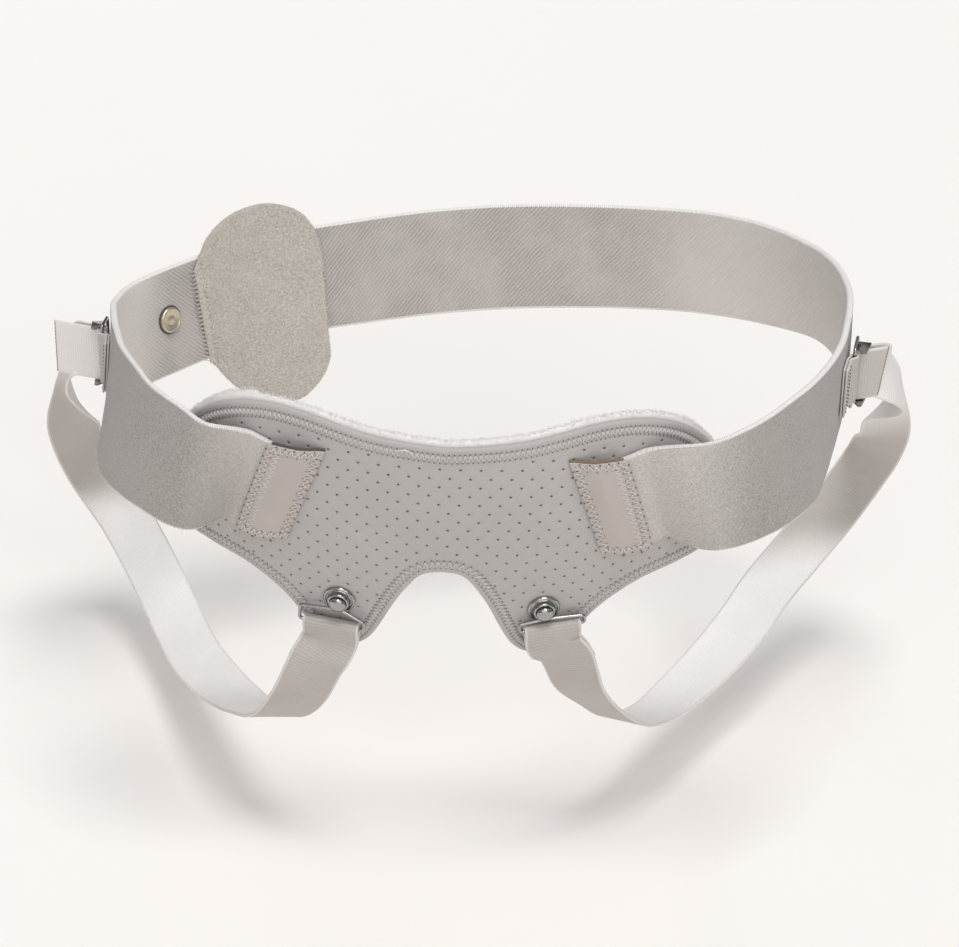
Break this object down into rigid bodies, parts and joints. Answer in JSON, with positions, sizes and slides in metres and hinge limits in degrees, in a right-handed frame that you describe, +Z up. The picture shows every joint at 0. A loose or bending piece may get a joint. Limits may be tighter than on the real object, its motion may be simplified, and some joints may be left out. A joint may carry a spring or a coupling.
{
  "type": "hernia belt",
  "caption": "Waist belt of elastic webbing with a perforated padded front panel, a felt closure tab, and leg straps that run from wire hooks on the panel's tabs to metal buckles on the belt.",
  "frame": {"origin": "middle of the waist loop, at the belts' mid-height", "axes": "+X to the viewer's right when the front panel is seen, +Y to the back, +Z up towards the wearer's chest"},
  "size_m": [0.4073, 0.2551, 0.2047],
  "materials": {
    "cover": "soft suede-like artificial leather with a grid of fine perforations",
    "fleece": "pale soft brushed lining",
    "webbing": "brushed elastic webbing, warm light grey, ribbed selvage",
    "felt": "dense napped felt, warm grey",
    "patch": "smooth soft artificial leather with zigzag seams",
    "tape": "woven elastic tape with firm edges",
    "chrome": "bright nickel plate",
    "rivet": "pale brass, turned rings"
  },
  "bodies": {
    "root": {"front_panel": "cover", "panel_lining": "fleece", "belt_left": "webbing", "belt_right": "webbing", "closure_tab": "felt", "belt_rivet": "rivet", "anchor_patch_left": "patch", "leg_strap_left": "tape", "buckle_loop_left": "tape", "buckle_frame_left": "chrome", "buckle_lever_left": "chrome", "eyelet_left": "chrome", "stud_left": "chrome", "hook_left": "chrome", "anchor_patch_right": "patch", "leg_strap_right": "tape", "buckle_loop_right": "tape", "buckle_frame_right": "chrome", "buckle_lever_right": "chrome", "eyelet_right": "chrome", "stud_right": "chrome", "hook_right": "chrome"}
  },
  "joints": []
}
